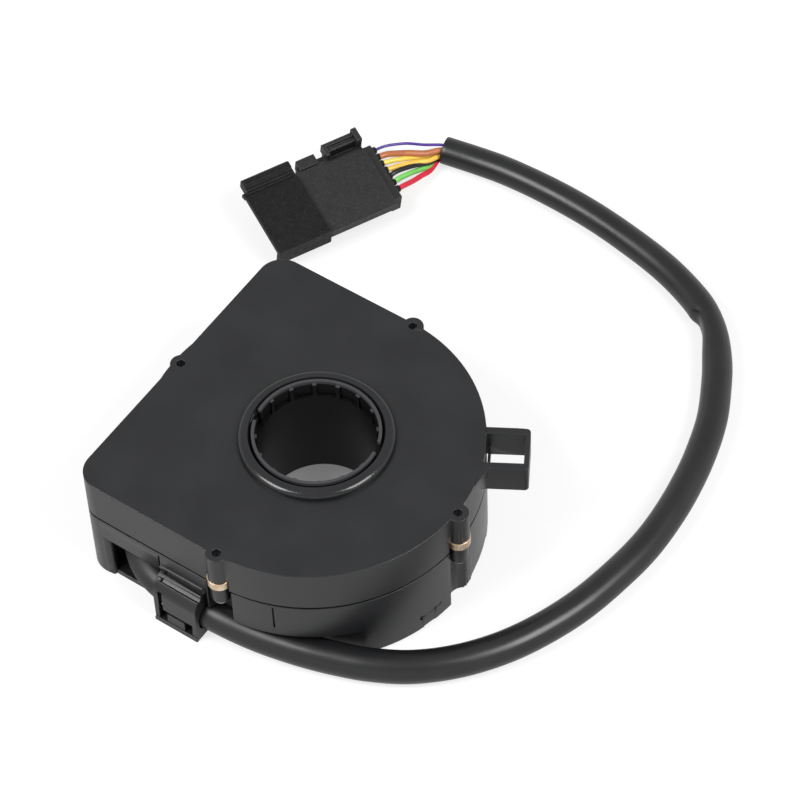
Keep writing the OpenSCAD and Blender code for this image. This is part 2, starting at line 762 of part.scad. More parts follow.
// Brass bushings that keep the two casings apart at the screws
module brass_bushings() color("goldenrod") at_bosses()
    ring(bushing_d, screw_d + 2 * screw_fit, post_top_z, column_foot_z);

module housing_screws() color("silver") at_bosses() {
    rod(screw_d, post_foot_z - eps, screw_top_z);
    difference() {
        rod(screw_head_d, post_foot_z - screw_head_h, post_foot_z);
        rod(screw_socket_d, post_foot_z - screw_head_h - 1,
            post_foot_z - screw_head_h + screw_socket_h);
    }
}

// Rubber grommet that seals the sheath in the pocket's wall
module cable_grommet() color("#1f1f21") at_grommet() difference() {
    groove_w = pocket_wall + 2 * grommet_fit;
    union() {
        cylinder(d = grommet_seat_d - 2 * grommet_fit, h = groove_w + 2 * grommet_flange_t,
            center = true);
        for (side = [-1, 1]) {
            translate([0, 0, side * (groove_w + grommet_flange_t) / 2])
                cylinder(d = grommet_seat_d + 2 * grommet_flange_w, h = grommet_flange_t,
                    center = true);
        }
    }
    cylinder(d = sheath_d_near + 2 * grommet_fit, h = 20, center = true);
}

module cable_sheath() color("#222224")
    swept_tube(SHEATH, sheath_d_near, sheath_d_far, sheath_sides);

module wire(route, d) {
    swept_tube(route, d, d, wire_sides);
}

module wire_violet() color("mediumpurple") wire(WIRE_VIOLET, thin_wire_d);

module wire_brown() color("peru") wire(WIRE_BROWN, thick_wire_d);

module wire_yellow() color("khaki") wire(WIRE_YELLOW, wire_d);

module wire_amber() color("gold") wire(WIRE_AMBER, wire_d);

module wire_black() color("#26262a") wire(WIRE_BLACK, wire_d);

module wire_green() color("palegreen") wire(WIRE_GREEN, wire_d);

module wire_red() color("crimson") wire(WIRE_RED, wire_d);

// Connector pieces are drawn level, x from the seam towards the wires, y from the near edge
module in_connector() {
    translate([conn_at.x, conn_at.y, -conn_drop]) rotate([conn_tilt, 0, conn_turn]) children();
}

module body_section(top_w, top_z, near_h) {
    polygon([[0, top_z], [top_w, top_z], [body_far_y, top_z - slope_drop], [body_far_y, 0],
        [undercut, 0], [undercut, max(top_z - near_h - undercut, 0)], [0, top_z - near_h]]);
}

module shell_hood() {
    top_z = block_h + shell_step;
    along_x(-shell_len, -shell_len + hood_reach + 1) polygon([[0, top_z], [shell_w, top_z],
        [body_far_y, top_z - slope_drop], [body_far_y, top_z - slope_drop - hood_t],
        [shell_w - 0.3, top_z - hood_t], [hood_t, top_z - hood_t], [hood_t, top_z - skirt_h],
        [0, top_z - skirt_h]]);
}

module shell_rail() {
    top_z = block_h + shell_step - 0.1;
    mid_y = (rail_y[0] + rail_y[1]) / 2;
    along_x(rail_x[0], rail_x[1] - 1.3) polygon([[body_far_y - 1, top_z - rail_h],
        [rail_y[1], top_z - rail_h], [rail_y[1], top_z - 0.6], [rail_y[1] - 0.6, top_z],
        [mid_y, top_z], [mid_y - 0.3, top_z - 0.5], [rail_y[0] + 0.6, top_z - 0.4],
        [rail_y[0], top_z - 1.5], [body_far_y - 1, top_z - 1.9]]);
}

module contact(x0, x1, i, w) {
    translate([x0, contact_y + (i - 3) * contact_pitch - w / 2, contact_z - w / 2])
        cube([x1 - x0, w, w]);
}

module connector_shell() color(black) in_connector() difference() {
    socket_x = -shell_len + socket_depth;
    union() {
        along_x(-shell_len + hood_reach, 0)
            body_section(shell_w, block_h + shell_step, skirt_h);
        shell_hood();
        shell_rail();
    }
    translate([-shell_len - 1, socket_y[0], socket_z[0]]) cube([socket_depth + 1,
        socket_y[1] - socket_y[0], socket_z[1] - socket_z[0]]);
    for (i = [0 : 6]) {
        contact(socket_x - 1, -1, i, contact_w + 0.1);
    }
}

module connector_block() color(black) in_connector() {
    rear_x = block_len + collar_len;
    along_x(0, block_len) body_section(block_w, block_h, side_h);
    along_x(block_len - eps, rear_x) translate([undercut - 0.8, 0.8])
        square([body_far_y - undercut, collar_top_z - 0.8]);
}

module connector_lock() color("#26272a") in_connector() {
    tab_z = block_h - 1.2;
    arm_z = block_h + 0.2;
    along_x(1.5, block_len) translate([body_far_y, 3.4]) square([2, tab_z - 1.6 - 3.4]);
    along_x(1.8, 7) translate([body_far_y, 3.4]) square([2.9, tab_z - 3.4]);
    along_x(9.4, 10.4) translate([body_far_y, 3.4]) square([2.6, arm_z - 3.4]);
    along_x(9.4, block_len - 0.6) difference() {
        translate([body_far_y + 0.9, arm_z - 3]) square([2.7, 3]);
        translate([body_far_y + 1.5, arm_z - 0.8]) square([1, 1]);
    }
    along_x(block_len - 1, block_len + 0.5) translate([body_far_y, 2.4])
        square([3.9, arm_z + 1.2 - 2.4]);
}

module contact_pins() color("goldenrod") in_connector() {
    floor_x = -shell_len + socket_depth;
    for (i = [0 : 6]) {
        contact(floor_x - contact_reach, floor_x + contact_root - 2.2, i, contact_w);
    }
}

top_cover();
base_housing();
cable_clamp();
rotor_hub();
measuring_gear_a();
measuring_gear_b();
magnet_a();
magnet_b();
circuit_board();
angle_chip_a();
angle_chip_b();
microcontroller();
capacitors();
terminal_header();
board_screws();
brass_bushings();
housing_screws();
cable_grommet();
cable_sheath();
wire_violet();
wire_brown();
wire_yellow();
wire_amber();
wire_black();
wire_green();
wire_red();
connector_shell();
connector_block();
connector_lock();
contact_pins();
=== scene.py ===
import math
import random

import bmesh
import bpy
from mathutils import Matrix, Vector, geometry, noise


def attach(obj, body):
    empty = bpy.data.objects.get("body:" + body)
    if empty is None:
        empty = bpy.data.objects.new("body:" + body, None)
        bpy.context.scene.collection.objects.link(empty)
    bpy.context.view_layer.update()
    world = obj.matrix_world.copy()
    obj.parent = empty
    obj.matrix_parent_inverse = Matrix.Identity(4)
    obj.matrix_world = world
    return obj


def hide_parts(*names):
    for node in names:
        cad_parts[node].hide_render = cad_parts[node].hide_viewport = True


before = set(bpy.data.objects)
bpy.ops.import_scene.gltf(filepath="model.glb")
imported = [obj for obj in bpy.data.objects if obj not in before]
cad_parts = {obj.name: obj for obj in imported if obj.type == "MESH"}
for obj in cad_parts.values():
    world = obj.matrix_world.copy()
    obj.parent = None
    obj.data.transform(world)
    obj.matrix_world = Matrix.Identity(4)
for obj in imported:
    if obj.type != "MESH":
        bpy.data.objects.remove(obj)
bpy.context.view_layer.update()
scene = bpy.context.scene
collection = scene.collection

# ---- Camera -------------------------------------------------------------------------
# A long lens looks down at the sensor from its open side, between the cable's clamp and
# the torque lug, so that the whole loop of the cable stays in the frame.
camera_height_angle = math.radians(52.37)
camera_turn = math.radians(-36.57)
camera_roll = math.radians(2.58)
camera_distance = 0.81313
camera_aim = Vector((0.01001, 0.0193, 0.034))

view_right = Vector((math.cos(camera_turn), -math.sin(camera_turn), 0))
view_along = Vector((
    math.sin(camera_turn) * math.cos(camera_height_angle),
    math.cos(camera_turn) * math.cos(camera_height_angle),
    -math.sin(camera_height_angle),
))
view_up = view_right.cross(view_along)
rolled_right = math.cos(camera_roll) * view_right - math.sin(camera_roll) * view_up
rolled_up = math.sin(camera_roll) * view_right + math.cos(camera_roll) * view_up
camera = bpy.data.objects.new("camera", bpy.data.cameras.new("camera"))
camera.data.lens = 157.5
camera.data.sensor_width = 36
camera.data.clip_start = 0.05
camera.data.clip_end = 20
camera.matrix_world = Matrix.Translation(camera_aim - camera_distance * view_along) @ Matrix((
    rolled_right, rolled_up, -view_along)).transposed().to_4x4()
collection.objects.link(camera)
scene.camera = camera

# ---- Outer sleeve of the cable ------------------------------------------------------
# Soft black vinyl sleeve, cut square at the connector's end and gripped by the rubber
# grommet at the other. It wavers a little in width and is pinched where it was bent.
sleeve_route = [
    (-0.0345, -0.0270, 0.0084), (-0.0295, -0.0320, 0.0084), (-0.0265, -0.0348, 0.0081),
    (-0.0230, -0.0370, 0.0075), (-0.0190, -0.0382, 0.0067), (-0.0140, -0.0385, 0.0060),
    (-0.0080, -0.0385, 0.0058), (-0.0010, -0.0381, 0.0053), (0.0060, -0.0372, 0.0047),
    (0.0130, -0.0359, 0.0044), (0.0200, -0.0342, 0.0043), (0.0270, -0.0320, 0.0042),
    (0.0340, -0.0293, 0.0042), (0.0420, -0.0248, 0.0042), (0.0495, -0.0182, 0.0042),
    (0.0560, -0.0100, 0.0042), (0.0610, -0.0008, 0.0042), (0.0650, 0.0100, 0.0042),
    (0.0675, 0.0210, 0.0042), (0.0690, 0.0330, 0.0041), (0.0688, 0.0450, 0.0041),
    (0.0672, 0.0570, 0.0040), (0.0652, 0.0660, 0.0040), (0.0625, 0.0745, 0.0040),
    (0.0590, 0.0820, 0.0040), (0.0548, 0.0895, 0.0039), (0.0495, 0.0965, 0.0039),
    (0.0435, 0.1018, 0.0039), (0.0370, 0.1053, 0.0038), (0.0280, 0.1086, 0.0038),
    (0.0170, 0.1112, 0.0038), (0.0040, 0.1133, 0.0038), (-0.0100, 0.1142, 0.0038),
    (-0.0220, 0.1138, 0.0039), (-0.0310, 0.1125, 0.0041), (-0.0398, 0.1106, 0.0046),
]
sleeve_radius_at_grommet = 0.0042
sleeve_radius_at_connector = 0.0036
sleeve_wall = 0.0008
sleeve_mouth_depth = 0.007
sleeve_sides = 28
pinch_at = Vector((0.0452, 0.1005, 0.0039))
pinch_depth = 0.0017
pinch_reach_to_housing = 0.0080
pinch_reach_to_connector = 0.0016
loop_middle = Vector((0.02, 0.05, 0.0039))


def smooth_route(points, steps):
    """Points on one smooth curve through the given ones, steps to each stretch."""
    route = [Vector(p) for p in points]
    ends = [2 * route[0] - route[1], *route, 2 * route[-1] - route[-2]]
    made = []
    for a, b, c, d in zip(ends, ends[1:], ends[2:], ends[3:]):
        for i in range(steps):
            t = i / steps
            made.append(0.5 * (2 * b + (c - a) * t + (2 * a - 5 * b + 4 * c - d) * t**2
                               + (3 * b - a - 3 * c + d) * t**3))
    return [*made, route[-1]]


def ring_frame(route, i):
    """Sideways and upward directions of the tube's ring at one point of its route."""
    along = (route[min(i + 1, len(route) - 1)] - route[max(i - 1, 0)]).normalized()
    side = along.cross(Vector((0, 0, 1))).normalized()
    return side, side.cross(along), along


def tube_object(name, rings, close_start=True, close_end=True):
    """Smooth skin over rings of points that all have the same number of points."""
    skin = bmesh.new()
    rows = [[skin.verts.new(p) for p in ring] for ring in rings]
    for lower, upper in zip(rows, rows[1:]):
        for k in range(len(lower)):
            n = (k + 1) % len(lower)
            skin.faces.new((lower[k], lower[n], upper[n], upper[k])).smooth = True
    if close_start:
        skin.faces.new(rows[0][::-1])
    if close_end:
        skin.faces.new(rows[-1])
    bmesh.ops.recalc_face_normals(skin, faces=skin.faces)
    mesh = bpy.data.meshes.new(name)
    skin.to_mesh(mesh)
    skin.free()
    mesh.set_sharp_from_angle(angle=math.radians(50))
    made = bpy.data.objects.new(name, mesh)
    collection.objects.link(made)
    return made


def round_ring(route, i, radius_at, sides):
    """One ring of a tube; radius_at gives the radius at a direction from the middle."""
    side, up, along = ring_frame(route, i)
    ring = []
    for k in range(sides):
        turn = 2 * math.pi * k / sides
        outward = math.cos(turn) * side + math.sin(turn) * up
        ring.append(route[i] + radius_at(route[i], outward) * outward)
    return ring


def fresh_material(name):
    """New material, with its nodes, their links and the main shader."""
    material = bpy.data.materials.new(name)
    material.use_nodes = True
    nodes = material.node_tree.nodes
    return material, nodes, material.node_tree.links, nodes["Principled BSDF"]


def soft_noise(nodes, links, size, detail=3.0):
    """Cloudy pattern whose patches are about the given size across, in metres."""
    place = nodes.new("ShaderNodeTexCoord")
    pattern = nodes.new("ShaderNodeTexNoise")
    pattern.inputs["Scale"].default_value = 1 / size
    pattern.inputs["Detail"].default_value = detail
    links.new(place.outputs["Object"], pattern.inputs["Vector"])
    return pattern.outputs["Fac"]


def spread_between(nodes, links, source, low, high, start=0.3, end=0.7):
    """The source pattern stretched to run from low to high."""
    spread = nodes.new("ShaderNodeMapRange")
    spread.inputs["From Min"].default_value = start
    spread.inputs["From Max"].default_value = end
    spread.inputs["To Min"].default_value = low
    spread.inputs["To Max"].default_value = high
    links.new(source, spread.inputs["Value"])
    return spread.outputs["Result"]


def two_tones(nodes, links, source, dark, light):
    """Colour that runs from dark to light with the source pattern."""
    ramp = nodes.new("ShaderNodeValToRGB")
    ramp.color_ramp.elements[0].position = 0.3
    ramp.color_ramp.elements[0].color = (*dark, 1)
    ramp.color_ramp.elements[1].position = 0.7
    ramp.color_ramp.elements[1].color = (*light, 1)
    links.new(source, ramp.inputs["Fac"])
    return ramp.outputs["Color"]


def raised(nodes, links, heights, depth, below=None):
    """Surface relief of the given depth in metres, laid over the relief below it."""
    relief = nodes.new("ShaderNodeBump")
    relief.inputs["Distance"].default_value = depth
    links.new(heights, relief.inputs["Height"])
    if below is not None:
        links.new(below, relief.inputs["Normal"])
    return relief.outputs["Normal"]


def moulded(name, dark, light, rough, smooth, grain, depth, patch=0.012):
    """Moulded plastic: cloudy tone, uneven gloss and a fine grain of the given size."""
    material, nodes, links, shader = fresh_material(name)
    cloud = soft_noise(nodes, links, patch)
    fine = soft_noise(nodes, links, grain, 2.0)
    links.new(two_tones(nodes, links, cloud, dark, light), shader.inputs["Base Color"])
    links.new(spread_between(nodes, links, cloud, smooth, rough), shader.inputs["Roughness"])
    links.new(raised(nodes, links, fine, depth), shader.inputs["Normal"])
    return material


sleeve_vinyl = moulded("sleeve_vinyl", (0.006, 0.0062, 0.0068), (0.010, 0.0103, 0.0112),
                       0.36, 0.28, 0.0060, 0.00005)
sleeve_line = smooth_route(sleeve_route, 10)
nodes, links = sleeve_vinyl.node_tree.nodes, sleeve_vinyl.node_tree.links
place = nodes.new("ShaderNodeTexCoord")
from_pocket = nodes.new("ShaderNodeVectorMath")
from_pocket.operation = "DISTANCE"
from_pocket.inputs[1].default_value = (-0.030, -0.032, 0.008)
links.new(place.outputs["Object"], from_pocket.inputs[0])
dulled = nodes.new("ShaderNodeMix")
dulled.inputs["A"].default_value = 0.62
shader = nodes["Principled BSDF"]
links.new(spread_between(nodes, links, from_pocket.outputs["Value"], 0.0, 1.0, 0.008, 0.018),
          dulled.inputs["Factor"])
links.new(shader.inputs["Roughness"].links[0].from_socket, dulled.inputs["B"])
links.new(dulled.outputs["Result"], shader.inputs["Roughness"])


def sleeve_radius(point, outward):
    share = sleeve_shares[tuple(point)]
    radius = sleeve_radius_at_grommet + share * (
        sleeve_radius_at_connector - sleeve_radius_at_grommet)
    radius *= 1 + 0.018 * noise.noise(point * 70 + outward * 0.5)
    inward = (loop_middle - point).normalized()
    past = (point - pinch_at).dot(pinch_along)
    reach = pinch_reach_to_connector if past > 0 else pinch_reach_to_housing
    nearness = math.exp(-((point - pinch_at).length / reach) ** 2)
    return radius - pinch_depth * nearness * max(0, outward.dot(inward)) ** 2


sleeve_shares = {tuple(p): i / (len(sleeve_line) - 1) for i, p in enumerate(sleeve_line)}
nearest = min(range(len(sleeve_line)), key=lambda i: (sleeve_line[i] - pinch_at).length)
pinch_at, pinch_along = sleeve_line[nearest], ring_frame(sleeve_line, nearest)[2]
sleeve_rings = [round_ring(sleeve_line, i, sleeve_radius, sleeve_sides)
                for i in range(len(sleeve_line))]
mouth_middle, mouth_along = sleeve_line[-1], ring_frame(sleeve_line, len(sleeve_line) - 1)[2]
for share, back in ((0.985, -0.0001), (0.88, 0.0), (0.86, 0.0008), (0.86, sleeve_mouth_depth)):
    sleeve_rings.append([mouth_middle + share * (p - mouth_middle) - back * mouth_along
                         for p in sleeve_rings[len(sleeve_line) - 1]])
sleeve = tube_object("outer_sleeve", sleeve_rings)
sleeve.data.materials.append(sleeve_vinyl)
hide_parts("cable_sheath")
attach(sleeve, "housing")

# ---- Wires --------------------------------------------------------------------------
# Seven stranded wires in coloured vinyl, crimped to the contacts in the connector and
# gathered into the sleeve. One carries less current and is thinner than the rest.
wire_sides = 14
wire_kinds = {
    "violet": (0.00075, (0.09, 0.04, 0.34), [
        (-0.0531, 0.0974, 0.0084), (-0.0517, 0.1005, 0.0082), (-0.0497, 0.1030, 0.0079),
        (-0.0475, 0.1052, 0.0075), (-0.0440, 0.1074, 0.0071), (-0.0398, 0.1102, 0.0069),
        (-0.0362, 0.1110, 0.0066)]),
    "brown": (0.00165, (0.52, 0.17, 0.06), [
        (-0.0512, 0.0965, 0.0080), (-0.0496, 0.0989, 0.0080), (-0.0475, 0.1007, 0.0079),
        (-0.0452, 0.1028, 0.0075), (-0.0423, 0.1054, 0.0067), (-0.0396, 0.1092, 0.0059),
        (-0.0360, 0.1100, 0.0057)]),
    "yellow": (0.00140, (0.97, 0.72, 0.12), [
        (-0.0494, 0.0955, 0.0075), (-0.0480, 0.0978, 0.0074), (-0.0464, 0.1000, 0.0070),
        (-0.0447, 0.1029, 0.0060), (-0.0426, 0.1061, 0.0049), (-0.0399, 0.1099, 0.0045),
        (-0.0362, 0.1107, 0.0042)]),
    "amber": (0.00140, (0.97, 0.62, 0.09), [
        (-0.0475, 0.0946, 0.0071), (-0.0463, 0.0966, 0.0070), (-0.0448, 0.0995, 0.0064),
        (-0.0431, 0.1024, 0.0056), (-0.0412, 0.1051, 0.0049), (-0.0396, 0.1085, 0.0044),
        (-0.0360, 0.1092, 0.0042)]),
    "black": (0.00130, (0.010, 0.010, 0.011), [
        (-0.0457, 0.0937, 0.0066), (-0.0450, 0.0961, 0.0068), (-0.0439, 0.0990, 0.0062),
        (-0.0426, 0.1021, 0.0052), (-0.0410, 0.1052, 0.0041), (-0.0398, 0.1091, 0.0030),
        (-0.0362, 0.1099, 0.0028)]),
    "green": (0.00140, (0.22, 0.72, 0.14), [
        (-0.0439, 0.0928, 0.0062), (-0.0433, 0.0955, 0.0060), (-0.0426, 0.0989, 0.0050),
        (-0.0418, 0.1022, 0.0038), (-0.0407, 0.1056, 0.0028), (-0.0401, 0.1105, 0.0024),
        (-0.0365, 0.1112, 0.0022)]),
    "red": (0.00140, (0.80, 0.02, 0.06), [
        (-0.0420, 0.0919, 0.0058), (-0.0413, 0.0943, 0.0055), (-0.0408, 0.0976, 0.0044),
        (-0.0405, 0.1012, 0.0033), (-0.0401, 0.1047, 0.0025), (-0.0403, 0.1117, 0.0032),
        (-0.0367, 0.1125, 0.0029)]),
}
for colour, (width, tone, points) in wire_kinds.items():
    line = smooth_route(points, 8)
    rings = [round_ring(line, i, lambda point, outward: width / 2, wire_sides)
             for i in range(len(line))]
    wire = tube_object("insulation_" + colour, rings)
    wire.data.materials.append(moulded(
        "insulation_" + colour, tuple(0.82 * c for c in tone), tone, 0.34, 0.24,
        0.0005, 0.00002, 0.003))
    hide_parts("wire_" + colour)
    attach(wire, "housing")

# ---- Housing ------------------------------------------------------------------------
# Two casings moulded in the same black glass-filled nylon, with a fine spark-eroded
# grain. Their edges have the small radius that the mould's parting leaves.
narrowest_corner = math.radians(20)
smallest_fold = 4e-7
most_kept_sharp = 400


def has_room(edge, width):
    """Whether the faces beside an edge are wide enough for a rounding of that width."""
    for loop in edge.link_loops:
        start, end = loop.vert.co, loop.link_loop_next.vert.co
        inward = loop.face.normal.cross(end - start).normalized()
        beside = (edge, loop.link_loop_prev.edge, loop.link_loop_next.edge)
        if min(loop.calc_angle(), loop.link_loop_next.calc_angle()) < narrowest_corner:
            return False
        for other in loop.face.loops:
            if other.edge in beside:
                continue
            for share in (0.05, 0.5, 0.95):
                place = start.lerp(end, share)
                a, b = other.vert.co, other.link_loop_next.vert.co
                along = geometry.intersect_point_line(place, a, b)[1]
                gap = a.lerp(b, min(1, max(0, along))) - place
                if gap.length < width and gap.dot(inward) > 0.5 * gap.length:
                    return False
    return True


def rounded_form(node, edge, kept_sharp):
    """CAD solid with its sharp edges rounded, but not round the faces in kept_sharp,
    and the numbers of the faces that came out folded."""
    form = bmesh.new()
    form.from_mesh(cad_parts[node].data)
    bmesh.ops.remove_doubles(form, verts=form.verts, dist=2e-6)
    bmesh.ops.dissolve_limit(form, angle_limit=0.002, verts=form.verts, edges=form.edges)
    number = form.faces.layers.int.new("number")
    for i, face in enumerate(form.faces):
        face[number] = i
    sharp = [e for e in form.edges
             if e.is_manifold and e.calc_face_angle() > 0.6 and has_room(e, 2.2 * edge)
             and not any(f[number] in kept_sharp for f in e.link_faces)]
    bmesh.ops.bevel(form, geom=sharp, offset=edge, segments=2, profile=0.5,
                    affect="EDGES", clamp_overlap=False)
    covered = {}
    for corner, second, third in form.calc_loop_triangles():
        area = (second.vert.co - corner.vert.co).cross(third.vert.co - corner.vert.co).length / 2
        covered[corner.face] = covered.get(corner.face, 0) + area
    folded = {face[number] for face, area in covered.items()
              if area - face.calc_area() > smallest_fold}
    return form, folded


def softened(node, name, edge, body, material):
    """CAD solid with its sharp edges rounded, as a piece that stands for that solid."""
    form, folded = rounded_form(node, edge, set())
    kept_sharp = set(folded)
    while folded and len(kept_sharp) < most_kept_sharp:
        form.free()
        form, folded = rounded_form(node, edge, kept_sharp)
        if folded <= kept_sharp:
            break
        kept_sharp |= folded
    for face in form.faces:
        face.smooth = True
    mesh = bpy.data.meshes.new(name)
    form.to_mesh(mesh)
    form.free()
    mesh.set_sharp_from_angle(angle=math.radians(48))
    made = bpy.data.objects.new(name, mesh)
    collection.objects.link(made)
    made.modifiers.new("even shading", "WEIGHTED_NORMAL").keep_sharp = True
    mesh.materials.append(material)
    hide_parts(node)
    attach(made, body)
    return made


housing_nylon = moulded("housing_nylon", (0.0085, 0.0089, 0.0100), (0.0120, 0.0125, 0.0140),
                        0.34, 0.27, 0.00035, 0.00002)
cover_nylon = moulded("cover_nylon", (0.0085, 0.0089, 0.0100), (0.0120, 0.0125, 0.0140),
                      0.38, 0.30, 0.00035, 0.00002)
collar_foot = 0.0341
nodes, links = cover_nylon.node_tree.nodes, cover_nylon.node_tree.links
place = nodes.new("ShaderNodeTexCoord")
height = nodes.new("ShaderNodeSeparateXYZ")
links.new(place.outputs["Object"], height.inputs["Vector"])
on_collar = spread_between(nodes, links, height.outputs["Z"], 0.0, 1.0,
                           collar_foot, collar_foot + 0.0002)
gloss = nodes.new("ShaderNodeMix")
gloss.inputs["B"].default_value = 0.17
shader = nodes["Principled BSDF"]
links.new(on_collar, gloss.inputs["Factor"])
links.new(shader.inputs["Roughness"].links[0].from_socket, gloss.inputs["A"])
links.new(gloss.outputs["Result"], shader.inputs["Roughness"])
softened("top_cover", "cover_casing", 0.00018, "housing", cover_nylon)
softened("base_housing", "base_casing", 0.00015, "housing", housing_nylon)

# ---- Cable clamp --------------------------------------------------------------------
# Bent strap with two ribs that presses the sleeve into its channel. It is moulded in a
# smoother black nylon and snaps over the foot of the base.
clamp_nylon = moulded("clamp_nylon", (0.007, 0.0072, 0.0080), (0.010, 0.0103, 0.0114),
                      0.44, 0.36, 0.0010, 0.00001)
softened("cable_clamp", "clamp_strap", 0.00012, "housing", clamp_nylon)

# ---- Rotor --------------------------------------------------------------------------
# Tube that the steering shaft turns through two slots in its rim. It is moulded in a
# smooth black acetal that runs in its bearings without grease.
# The tube's tones are painted nearly black as painted shade down its bore, and the top of its
# rim is painted lighter as painted light on it.
rotor_acetal = moulded("rotor_acetal", (0.0022, 0.0022, 0.0025), (0.0036, 0.0036, 0.0040),
                       0.52, 0.44, 0.0008, 0.00001)
rim_top = 0.0352
nodes, links = rotor_acetal.node_tree.nodes, rotor_acetal.node_tree.links
shader = nodes["Principled BSDF"]
shader.inputs["Specular IOR Level"].default_value = 0.15
place = nodes.new("ShaderNodeTexCoord")
height = nodes.new("ShaderNodeSeparateXYZ")
links.new(place.outputs["Object"], height.inputs["Vector"])
on_rim = spread_between(nodes, links, height.outputs["Z"], 0.0, 1.0, rim_top, rim_top + 0.0002)
rim_light_over_bore_shade = nodes.new("ShaderNodeMix")
rim_light_over_bore_shade.data_type = "RGBA"
rim_light_over_bore_shade.inputs["B"].default_value = (0.055, 0.055, 0.060, 1)
links.new(on_rim, rim_light_over_bore_shade.inputs["Factor"])
links.new(shader.inputs["Base Color"].links[0].from_socket, rim_light_over_bore_shade.inputs["A"])
links.new(rim_light_over_bore_shade.outputs["Result"], shader.inputs["Base Color"])
softened("rotor_hub", "rotor_tube", 0.00004, "rotor", rotor_acetal)

# ---- Measuring gears ----------------------------------------------------------------
# Two small gears in natural acetal. Their tooth numbers differ, so the pair of angles
# tells how many turns the shaft has made.
gear_acetal = moulded("gear_acetal", (0.66, 0.62, 0.52), (0.74, 0.70, 0.60),
                      0.42, 0.34, 0.0006, 0.00001, 0.004)
for letter in "ab":
    softened("measuring_gear_" + letter, "gear_wheel_" + letter, 0.00008, "gear_" + letter,
             gear_acetal)

# ---- Magnets ------------------------------------------------------------------------
# Pressed ferrite discs, one in the cup of each gear, with the rough grey face that
# sintering leaves.
ferrite = moulded("ferrite", (0.020, 0.020, 0.022), (0.045, 0.045, 0.048),
                  0.62, 0.46, 0.00025, 0.00002, 0.0012)
for letter in "ab":
    softened("magnet_" + letter, "magnet_disc_" + letter, 0.00015, "gear_" + letter,
             ferrite)

# ---- Circuit board ------------------------------------------------------------------
# Glass laminate under green solder mask, with copper runs that show through the mask
# as lighter lines.
board_mask, nodes, links, shader = fresh_material("board_mask")
place = nodes.new("ShaderNodeTexCoord")
runs = nodes.new("ShaderNodeTexBrick")
runs.inputs["Scale"].default_value = 220
runs.inputs["Mortar Size"].default_value = 0.12
runs.inputs["Color1"].default_value = (0.008, 0.085, 0.030, 1)
runs.inputs["Color2"].default_value = (0.010, 0.100, 0.036, 1)
runs.inputs["Mortar"].default_value = (0.030, 0.170, 0.060, 1)
links.new(place.outputs["Object"], runs.inputs["Vector"])
links.new(runs.outputs["Color"], shader.inputs["Base Color"])
links.new(raised(nodes, links, runs.outputs["Fac"], 0.00003), shader.inputs["Normal"])
links.new(spread_between(nodes, links, soft_noise(nodes, links, 0.004), 0.22, 0.34),
          shader.inputs["Roughness"])
softened("circuit_board", "board_panel", 0.00012, "housing", board_mask)

# ---- Chips --------------------------------------------------------------------------
# The two angle chips face the magnets from under the board, and the controller sits on
# top. All are moulded in black epoxy.
chip_epoxy = moulded("chip_epoxy", (0.014, 0.014, 0.015), (0.022, 0.022, 0.023),
                     0.66, 0.54, 0.00012, 0.00001, 0.002)
for node in ("angle_chip_a", "angle_chip_b", "microcontroller"):
    softened(node, node + "_body", 0.00012, "housing", chip_epoxy)

# ---- Terminal header ----------------------------------------------------------------
# Block in natural plastic that takes the cable's seven wires on the board.
header_nylon = moulded("header_nylon", (0.60, 0.57, 0.48), (0.68, 0.65, 0.56),
                       0.50, 0.40, 0.0004, 0.00001, 0.003)
softened("terminal_header", "header_block", 0.0003, "housing",
         header_nylon)


# ---- Screws, bushings and other metal -----------------------------------------------
# Zinc-plated steel screws hold the casings together through brass bushings. The board's
# capacitors have drawn cans.
def turned_metal(name, dark, light, ridge, depth):
    """Turned or drawn metal with fine rings round its upright axis."""
    material, nodes, links, shader = fresh_material(name)
    place = nodes.new("ShaderNodeTexCoord")
    rings = nodes.new("ShaderNodeTexWave")
    rings.bands_direction = "Z"
    rings.inputs["Scale"].default_value = 0.3 / ridge
    rings.inputs["Distortion"].default_value = 0.6
    links.new(place.outputs["Object"], rings.inputs["Vector"])
    cloud = soft_noise(nodes, links, 0.0015)
    links.new(two_tones(nodes, links, cloud, dark, light), shader.inputs["Base Color"])
    links.new(spread_between(nodes, links, cloud, 0.24, 0.36), shader.inputs["Roughness"])
    links.new(raised(nodes, links, rings.outputs["Fac"], depth), shader.inputs["Normal"])
    shader.inputs["Metallic"].default_value = 1.0
    return material


brass = turned_metal("turned_brass", (0.64, 0.44, 0.26), (0.86, 0.72, 0.54), 0.0002, 0.00001)
zinc_steel = turned_metal("zinc_steel", (0.52, 0.53, 0.54), (0.68, 0.69, 0.70), 0.0003,
                          0.000008)
softened("brass_bushings", "bushing_rings", 0.00012, "housing", brass)
softened("housing_screws", "casing_screws", 0.00010, "housing", zinc_steel)
softened("board_screws", "board_fixings", 0.00010, "housing", zinc_steel)
softened("capacitors", "capacitor_cans", 0.00040, "housing", zinc_steel)

# ---- Grommet ------------------------------------------------------------------------
# Soft rubber ring with a groove for the pocket's wall, which seals the cable's entry.
grommet_rubber = moulded("grommet_rubber", (0.012, 0.012, 0.012), (0.018, 0.018, 0.018),
                         0.72, 0.60, 0.0005, 0.00002)
softened("cable_grommet", "entry_grommet", 0.00015, "housing",
         grommet_rubber)

